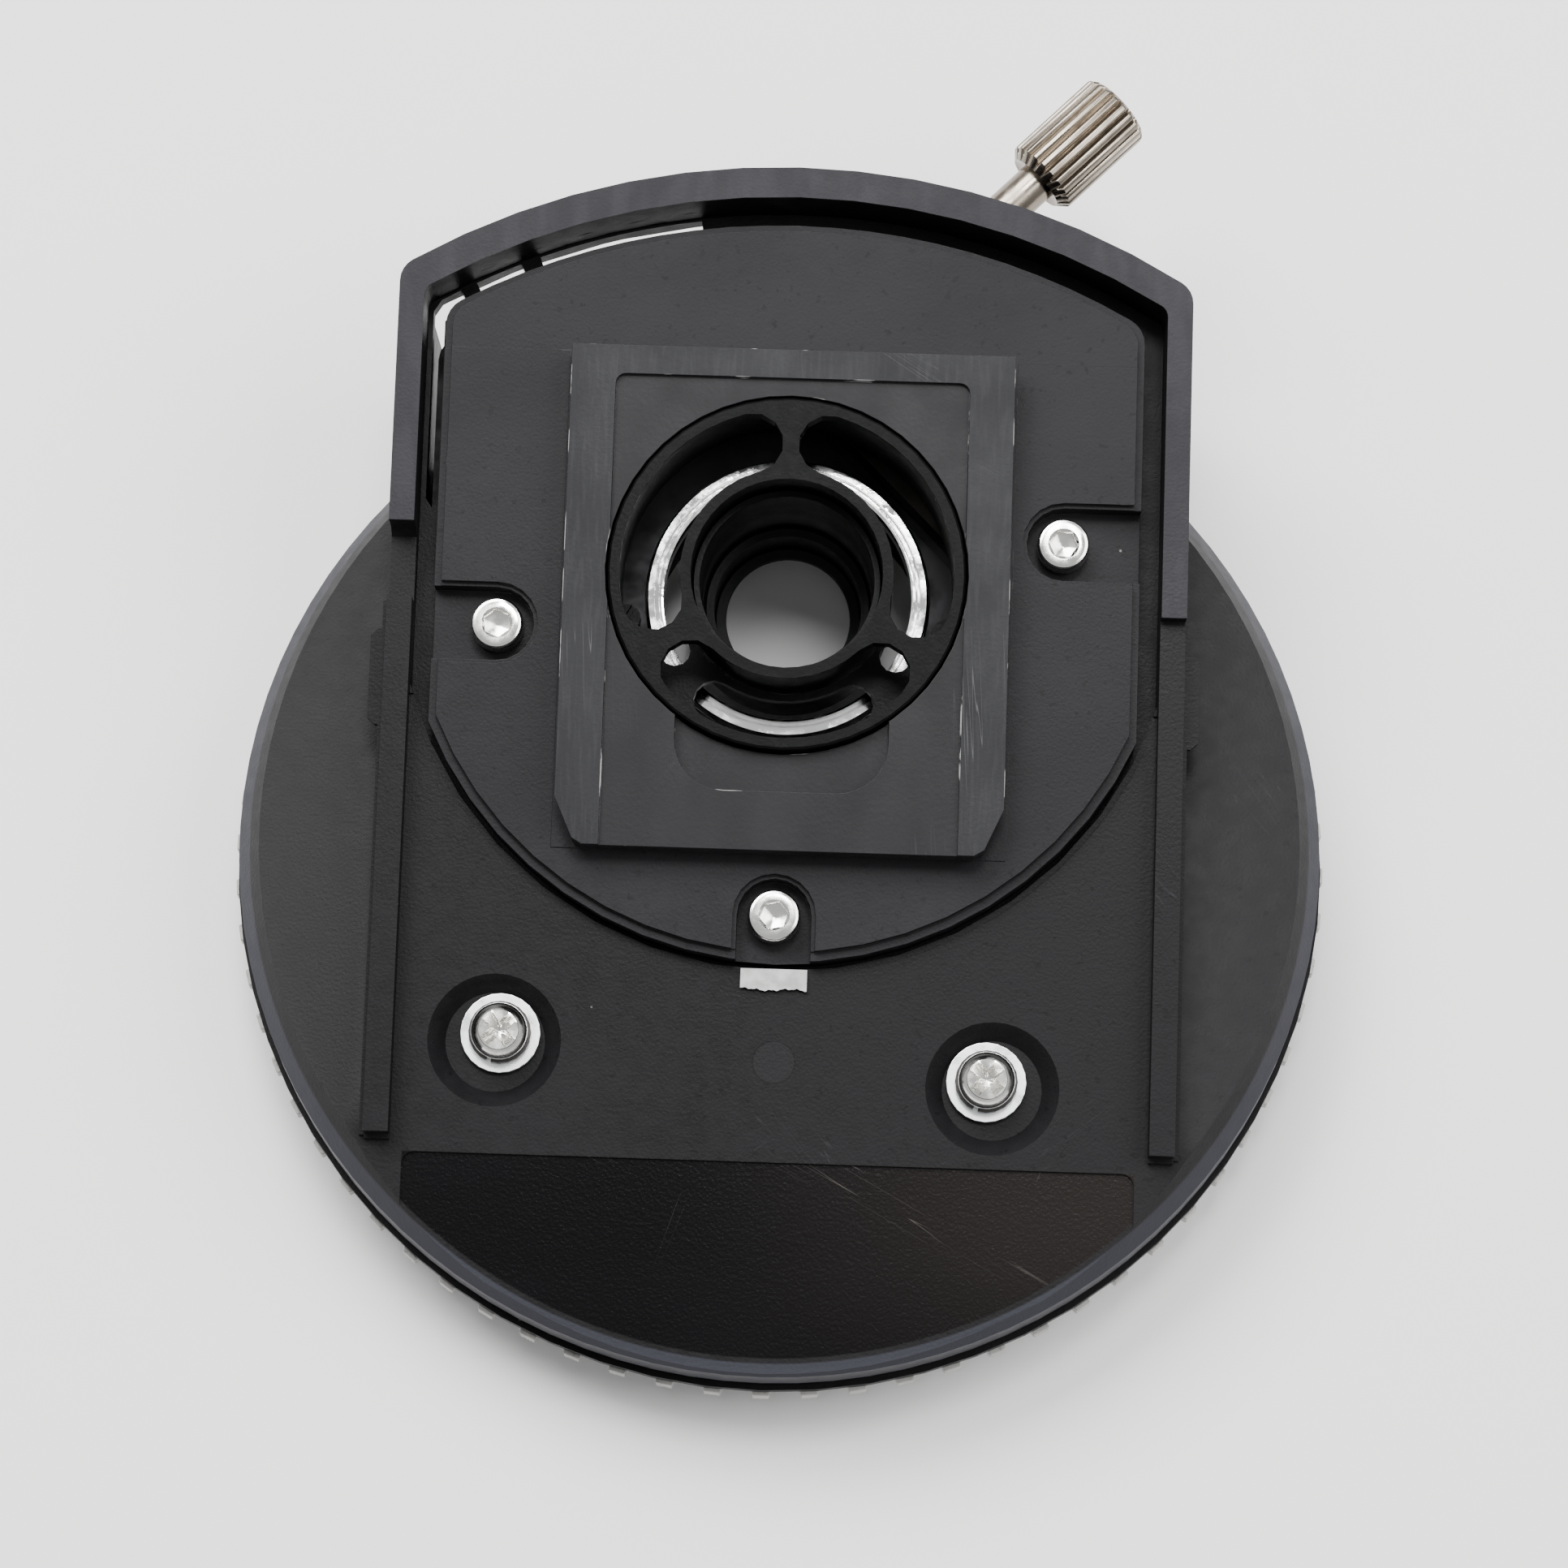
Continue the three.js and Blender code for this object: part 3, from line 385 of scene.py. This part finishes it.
def tube_surface():
    """The light tube: matt grey-black on its face; below it, painted shade makes it much darker down
    inside its windows.
    """
    s = moulded("tube_painted_shade", PAINTED_SHADE_BLACK, 0.4, scuffed=0.1, dusty=0.15, specular=0.06)
    top = local_box("light_tube", SLOPE)[1].z
    height = s.axes(s.placed(SLOPE))[2]
    # painted shade: only the top face gets the grey-black; everything below it keeps the near-black
    # that stands in for the shade inside the windows
    face = s.span(height, top - 1.6 * MM, top - 1.3 * MM)
    rubbed = s.span(s.noise(700, 4), 0.45, 0.7, 0, 0.5)
    s.set("Base Color", s.mix(face, s.base, s.mix(rubbed, TUBE_FACE, TUBE_RUBBED)))
    return s


def block_surface():
    """Black anodised metal, rubbed grey on the raised strips, with faint scuffs and stains."""
    s = Surface("anodised_block", BLOCK, 0.42, specular=0.1)
    height = s.axes(s.placed(SLOPE))[2]
    raised = s.span(height, -0.35 * MM, -0.15 * MM)
    cloud = s.noise(1, 4, s.placed(SLOPE, (9 * MM, 22 * MM, 9 * MM)))
    fine = s.noise(1, 4, s.placed(SLOPE, (0.5 * MM, 5 * MM, 1 * MM)))
    floor_tone = s.mix(s.span(cloud, 0.3, 0.7), tint(BLOCK, 0.85), tint(BLOCK, 1.15))
    strip_tone = s.mix(s.span(cloud, 0.3, 0.7), STRIP_DARK, STRIP_PALE)
    strip_tone = s.mix(s.span(fine, 0.45, 0.72, 0, 0.45), strip_tone, STRIP_RUBBED)
    base = s.mix(raised, floor_tone, strip_tone)
    scratch = s.largest(
        s.hairlines(4, 0.012, 0.58), s.hairlines(58, 0.008, 0.62), s.hairlines(-35, 0.006, 0.64)
    )
    base = s.mix(s.times(scratch, s.math("ADD", s.times(raised, 0.3), 0.1)), base, BARE)
    base = s.mix(s.times(s.dust(3.1 * MM, 0.06, 0.045), 0.8), base, BLOCK_DUST)
    s.set("Base Color", base)
    s.set("Roughness", s.span(s.noise(140, 3), 0.3, 0.7, 0.36, 0.48))
    s.bump(s.noise(1900, 2), 0.015 * MM)
    return s


def worn_edge(name, color, bright, reach, scale=230):
    """An edge polished by handling, with brighter chips where the surface is through."""
    roughness = 0.32
    s = Surface(name, color, roughness, specular=0.14)
    chips = s.span(s.noise(scale, 4), 0.66 - reach, 0.72 - reach)
    s.set("Base Color", s.mix(chips, color, bright))
    s.set("Roughness", s.span(s.noise(500, 2), 0.3, 0.7, roughness - 0.05, roughness + 0.08))
    return s


def paper_surface():
    s = Surface("strip", (0.33, 0.32, 0.3), 0.8)
    fibres = s.span(s.noise(600, 4), 0.3, 0.7)
    s.set("Base Color", s.mix(fibres, PAPER_DARK, PAPER_PALE))
    s.bump(s.noise(1500, 3), 0.04 * MM)
    return s


black = cover_surface().material
plate_black = plate_surface().material
tube_painted_shade = tube_surface().material
# painted shade: the parts down inside the tube and windows get the near-black that stands in for their
# shade
inner_painted_shade = moulded("inner_painted_shade", PAINTED_SHADE_BLACK, 0.38, scuffed=0.2, dusty=0.2).material
table_black = moulded("table_moulding", tint(BLACK, 0.9), 0.45).material
black_edge = worn_edge("black_edge", (0.010, 0.010, 0.011), (0.030, 0.030, 0.031), 0.04).material
tube_edge = worn_edge("tube_edge", (0.010, 0.010, 0.0102), (0.06, 0.058, 0.052), 0.02, 420).material
block = block_surface().material
block_edge = worn_edge("block_edge", (0.014, 0.014, 0.015), (0.30, 0.30, 0.295), 0.09, 150).material
steel = metal("screw_steel", (0.80, 0.79, 0.76), 0.17).material
# painted shadow: the lockwashers get a dark steel that stands in for the shadow under the cross-screw
# heads
painted_shadow_steel = metal("painted_shadow_steel", (0.06, 0.058, 0.055), 0.35, grime=0.5).material
zinc = metal("zinc_washer", (0.94, 0.95, 0.96), 0.3, grime=0.12).material
chrome = metal("bright_ring", (0.90, 0.90, 0.89), 0.07, grime=0.1).material
nickel = metal("nickel", (0.23, 0.20, 0.165), 0.24, grime=0.6).material
bronze = metal("bronze", (0.5, 0.36, 0.2), 0.4).material
alloy = metal("frame_alloy", (0.022, 0.022, 0.023), 0.5, grime=0.4).material
shoe_metal = metal("shoe_metal", (0.020, 0.019, 0.017), 0.35).material
grip = moulded("grip_plastic", GRIP, 0.3, scuffed=0.1, dusty=0.1, specular=0.5).material
paper = paper_surface().material


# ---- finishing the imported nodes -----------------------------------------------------
def soft_shading(angle):
    """A geometry node group that shades smooth except across edges sharper than angle."""
    group = bpy.data.node_groups.new("soft_shading", "GeometryNodeTree")
    group.interface.new_socket("Geometry", in_out="INPUT", socket_type="NodeSocketGeometry")
    group.interface.new_socket("Geometry", in_out="OUTPUT", socket_type="NodeSocketGeometry")
    start = group.nodes.new("NodeGroupInput")
    end = group.nodes.new("NodeGroupOutput")
    faces = group.nodes.new("GeometryNodeSetShadeSmooth")
    edges = group.nodes.new("GeometryNodeSetShadeSmooth")
    edges.domain = "EDGE"
    edges.inputs["Shade Smooth"].default_value = False
    edge_angle = group.nodes.new("GeometryNodeInputMeshEdgeAngle")
    compare = group.nodes.new("FunctionNodeCompare")
    compare.operation = "GREATER_THAN"
    compare.inputs[1].default_value = angle
    link = group.links.new
    link(start.outputs[0], faces.inputs["Geometry"])
    link(faces.outputs[0], edges.inputs["Geometry"])
    link(edge_angle.outputs["Unsigned Angle"], compare.inputs[0])
    link(compare.outputs[0], edges.inputs["Selection"])
    link(edges.outputs[0], end.inputs[0])
    return group


SOFT = soft_shading(math.radians(28))


def finish(node, material, edge=None, width=0.2):
    """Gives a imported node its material, soft shading and rounded edges of a width in mm."""
    obj = nodes[node]
    obj.data.materials.clear()
    obj.data.materials.append(material)
    obj.data.materials.append(edge or material)
    weld = obj.modifiers.new("weld", "WELD")
    weld.merge_threshold = 0.005 * MM
    flat = obj.modifiers.new("flat", "DECIMATE")
    flat.decimate_type = "DISSOLVE"
    flat.angle_limit = math.radians(0.6)
    obj.modifiers.new("shading", "NODES").node_group = SOFT
    if width:
        bevel = obj.modifiers.new("edges", "BEVEL")
        bevel.width = width * MM
        bevel.segments = 2
        bevel.limit_method = "ANGLE"
        bevel.angle_limit = math.radians(40)
        bevel.use_clamp_overlap = True
        bevel.harden_normals = True
        bevel.material = 1


finish("housing_cover", black, black_edge, 0.25)
finish("mount_plate", plate_black, black_edge, 0.3)
finish("dovetail_block", block, block_edge, 0.14)
finish("light_tube", tube_painted_shade, tube_edge, 0.2)
finish("window_plate", inner_painted_shade, black_edge, 0.1)
finish("support_frame", alloy, None, 0.1)
finish("table_disc", table_black, black_edge, 0.2)
finish("grip_ring", grip, None, 0.15)
finish("clamp_shoe", shoe_metal, None, 0.15)
finish("clamp_spindle", nickel, None, 0)
finish("clamp_bush", steel, None, 0.1)
finish("hub_bush", bronze, None, 0)
for name in nodes:
    if name.startswith("ring_screw"):
        finish(name, inner_painted_shade, black_edge, 0.06)
    if name.startswith("cover_washer"):
        finish(name, zinc, None, 0.1)
    # the lockwashers take the dark steel that paints the shadow under the screw heads
    if name.startswith("cover_lockwasher"):
        finish(name, painted_shadow_steel, None, 0.08)
    if name.startswith(("block_screw", "detent", "pivot", "axle", "wave", "thrust")):
        finish(name, steel, None, 0)


# ---- turned pieces ------------------------------------------------------------------
KNOB_FLUTES = 20
KNOB_INSET = 0.02  # mm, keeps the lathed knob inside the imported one
CAP_HEAD = 3.0  # mm, height of a socket screw's head
PAN_HEAD = 2.9  # mm, height of a cross-head screw's head


def hexagon(flat, turn):
    """Radius of a hexagon, flat being half its width across flats."""
    def radius(a):
        return flat / math.cos((a - turn + math.pi / 6) % (math.pi / 3) - math.pi / 6)
    return radius


def cross(half_width, length, turn):
    """Radius of a plus shape of two crossed bars."""
    def radius(a):
        c, s = abs(math.cos(a - turn)), abs(math.sin(a - turn))
        one = min(length / max(c, 1e-6), half_width / max(s, 1e-6))
        two = min(length / max(s, 1e-6), half_width / max(c, 1e-6))
        return max(one, two)
    return radius


def fluted(outer, depth):
    """Radius of a straight knurl: broad lands with narrow round-bottomed flutes."""
    def radius(a):
        wave = 0.5 + 0.5 * math.cos(a * KNOB_FLUTES)
        return outer - depth * wave ** 3
    return radius


def turned(name, rings, segments, place, material, loop=False):
    """A lathed piece. Each ring is a radius in mm, or its function of the angle, and a height."""
    mesh = bmesh.new()
    loops = []
    for radius, height in rings:
        ring = []
        for i in range(segments):
            a = i * 2 * math.pi / segments
            r = radius(a) if callable(radius) else radius
            point = Vector((r * math.cos(a), r * math.sin(a), height)) * MM
            ring.append(mesh.verts.new(place @ point))
        loops.append(ring)
    following = loops[1:] + ([loops[0]] if loop else [])
    for below, above in zip(loops, following):
        for i in range(segments):
            j = (i + 1) % segments
            mesh.faces.new((below[i], below[j], above[j], above[i]))
    if not loop:
        mesh.faces.new(list(reversed(loops[0])))
        mesh.faces.new(loops[-1])
    obj = finished_mesh(name, mesh, material)
    obj.modifiers.new("shading", "NODES").node_group = SOFT
    return obj


def finished_mesh(name, mesh, material):
    bmesh.ops.recalc_face_normals(mesh, faces=mesh.faces)
    data = bpy.data.meshes.new(name)
    mesh.to_mesh(data)
    mesh.free()
    data.materials.append(material)
    obj = bpy.data.objects.new(name, data)
    bpy.context.scene.collection.objects.link(obj)
    return obj


def settle(obj, body, slot, *replaced):
    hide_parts(*replaced)
    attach(obj, body)


def socket_screw(node, turn):
    """A socket head cap screw with a rounded rim and a hexagon socket."""
    place, size = on_slope(node)
    top = size.z / MM
    r = size.x / MM / 2
    rings = [
        (1.5, 0), (1.5, top - CAP_HEAD), (r - 0.12, top - CAP_HEAD), (r, top - CAP_HEAD + 0.15),
        (r, top - 0.55), (r - 0.08, top - 0.3), (r - 0.25, top - 0.1), (r - 0.5, top - 0.02),
        (r - 0.6, top), (1.85, top), (1.78, top - 0.04), (hexagon(1.5, turn), top - 0.22),
        (hexagon(1.47, turn), top - 0.3), (hexagon(1.46, turn), top - 1.55), (0.7, top - 1.75),
        (0.1, top - 1.95),
    ]
    settle(turned(node + "_turned", rings, 72, place, steel), "housing", "screw_steel", node)


def cross_screw(node, turn):
    """A pan head screw with a cross recess."""
    place, size = on_slope(node)
    base = size.z / MM - PAN_HEAD
    r = size.x / MM / 2
    rings = [
        (1.95, 0), (1.95, base), (r - 0.15, base), (r, base + 0.25), (r, base + 0.9),
        (r - 0.12, base + 1.45), (r - 0.45, base + 1.95), (r - 0.95, base + 2.35), (2.35, base + 2.5),
        (cross(0.72, 2.1, turn), base + 2.52), (cross(0.62, 1.95, turn), base + 2.3),
        (cross(0.5, 1.35, turn), base + 1.4), (cross(0.35, 0.7, turn), base + 0.7), (0.1, base + 0.45),
    ]
    settle(turned(node + "_turned", rings, 144, place, steel), "housing", "screw_steel", node)


def clamp_knob():
    """A straight-knurled nickel knob with bevelled ends, the outer one faintly dished."""
    clamp = joints["clamp_turn"]
    place = frame_at(clamp["pos_m"], [-c for c in clamp["axis"]])
    lo, hi = local_box("clamp_knob", place)
    r, start, end = hi.x / MM - KNOB_INSET, lo.z / MM, hi.z / MM
    lands = fluted(r, 0.75)
    rings = [
        (2.8, start + 0.3), (r - 1.1, start), (fluted(r - 0.5, 0.25), start + 0.6),
        (fluted(r - 0.06, 0.68), start + 1.05), (lands, start + 1.15), (lands, end - 0.75),
        (fluted(r - 0.1, 0.62), end - 0.55), (fluted(r - 0.5, 0.12), end - 0.2),
        (r - 0.95, end - 0.06), (r - 1.3, end), (2.2, end), (2.1, end - 0.06), (1.3, end - 0.04),
        (1.2, end - 0.1), (0.1, end - 0.1),
    ]
    knob = turned("clamp_knob_turned", rings, KNOB_FLUTES * 16, place, nickel)
    settle(knob, "clamp_screw", "nickel", "clamp_knob")


def chrome_ring():
    """One broad and two narrow bright lands with deep dark grooves between them."""
    place, size = on_slope("chrome_ring")
    r, top = size.x / MM / 2, size.z / MM
    deep = 1.1
    rings = [
        (r - 1.9, 0), (r, 0), (r, top - 0.1), (r - 0.08, top), (r - 0.76, top), (r - 0.80, top - deep),
        (r - 1.08, top - deep), (r - 1.12, top - 0.06), (r - 1.32, top - 0.06), (r - 1.36, top - deep),
        (r - 1.60, top - deep), (r - 1.64, top - 0.12), (r - 1.86, top - 0.14), (r - 1.9, top - 0.3),
    ]
    ring = turned("chrome_ring_turned", rings, 128, place, chrome, loop=True)
    settle(ring, "housing", "bright_ring", "chrome_ring")


def tube_sleeve():
    """The sleeve below the light tube, stepping in to the round aperture at its foot."""
    place, size = on_slope("tube_sleeve")
    height = size.z / MM
    wide = size.x / MM / 2
    rings = [
        (7.65, 0), (9.6, 0), (9.6, 3.9), (wide, 3.9), (wide, 14.2), (11.1, 14.2), (11.1, height),
        (10.45, height), (10.38, height - 0.2), (10.38, 16.2), (10.2, 15.8), (10.2, 8.6), (9.9, 8.2),
        (9.0, 7.9), (9.0, 1.3), (8.8, 1.1), (7.75, 0.9), (7.65, 0.6),
    ]
    sleeve = turned("tube_sleeve_turned", rings, 112, place, inner_painted_shade, loop=True)
    settle(sleeve, "housing", "black_moulding", "tube_sleeve")


def torn_strip():
    """A scrap of grey strip that sticks out of the seam, torn along its free edge."""
    lo, hi = local_box("strip_tab", SLOPE)
    steps = 40
    mesh = bmesh.new()
    corners = []
    for i in range(steps + 1):
        t = i / steps
        x = lo.x + t * (hi.x - lo.x)
        tear = 0.22 * math.sin(9 * t + 1) + 0.16 * math.sin(31 * t) + 0.09 * math.sin(73 * t + 2)
        y = lo.y + (0.5 + tear) * 0.5 * MM
        section = ((hi.y, lo.z), (y, lo.z), (y, hi.z), (hi.y, hi.z))
        corners.append([mesh.verts.new(SLOPE @ Vector((x, v, w))) for v, w in section])
    for here, there in zip(corners, corners[1:]):
        for k in range(4):
            mesh.faces.new((here[k], here[(k + 1) % 4], there[(k + 1) % 4], there[k]))
    mesh.faces.new(corners[0])
    mesh.faces.new(corners[-1])
    settle(finished_mesh("torn_strip", mesh, paper), "housing", "strip", "strip_tab")


for i, name in enumerate(("left", "right", "bottom")):
    socket_screw(f"mount_screw_{name}", math.radians(8 + 17 * i))
cross_screw("cover_screw_left", math.radians(41))
cross_screw("cover_screw_right", math.radians(47))
clamp_knob()
chrome_ring()
tube_sleeve()
torn_strip()


# ---- floor, light and camera --------------------------------------------------------
def floor():
    mesh = bmesh.new()
    bmesh.ops.create_grid(mesh, x_segments=2, y_segments=2, size=2.5)
    s = Surface("floor", (0.8, 0.79, 0.785), 0.6, specular=0.3)
    s.set("Base Color", s.mix(s.noise(3, 3), (0.81, 0.80, 0.795), (0.78, 0.77, 0.765)))
    finished_mesh("floor", mesh, s.material)


def area_light(name, at, target, size, power):
    data = bpy.data.lights.new(name, "AREA")
    data.shape = "RECTANGLE"
    data.size, data.size_y = size
    data.energy = power
    obj = bpy.data.objects.new(name, data)
    obj.location = at
    obj.rotation_euler = (Vector(target) - Vector(at)).to_track_quat("-Z", "Y").to_euler()
    bpy.context.scene.collection.objects.link(obj)


def world(strength):
    w = bpy.data.worlds.new("studio")
    w.use_nodes = True
    w.node_tree.nodes["Background"].inputs["Color"].default_value = (0.98, 0.99, 1.0, 1)
    w.node_tree.nodes["Background"].inputs["Strength"].default_value = strength
    bpy.context.scene.world = w


CAMERA_AT = Vector((7.0, -176.4, 605.3)) * MM
CAMERA_TILT = math.radians(17.32)
CAMERA_TURN = math.radians(0.62)
CAMERA_ROLL = math.radians(1.81)
CAMERA_LENS = 117.4


def camera():
    data = bpy.data.cameras.new("camera")
    data.sensor_width = 36
    data.lens = CAMERA_LENS
    data.clip_start = 0.01
    obj = bpy.data.objects.new("camera", data)
    tilt = Matrix.Rotation(CAMERA_TILT, 4, "X")
    turn = Matrix.Rotation(CAMERA_TURN, 4, "Y")
    roll = Matrix.Rotation(CAMERA_ROLL, 4, "Z")
    obj.matrix_world = Matrix.Translation(CAMERA_AT) @ tilt @ turn @ roll
    bpy.context.scene.collection.objects.link(obj)
    bpy.context.scene.camera = obj


floor()
world(0.62)
area_light("window", (-0.5, 0.8, 1.25), (0, 0, 0), (1.2, 0.8), 48)
area_light("overhead", (0.08, 0.32, 1.4), (0, 0.03, 0), (0.34, 0.34), 11)
area_light("fill", (0.9, 0.1, 1.1), (0, 0, 0), (0.9, 0.9), 17)
camera()
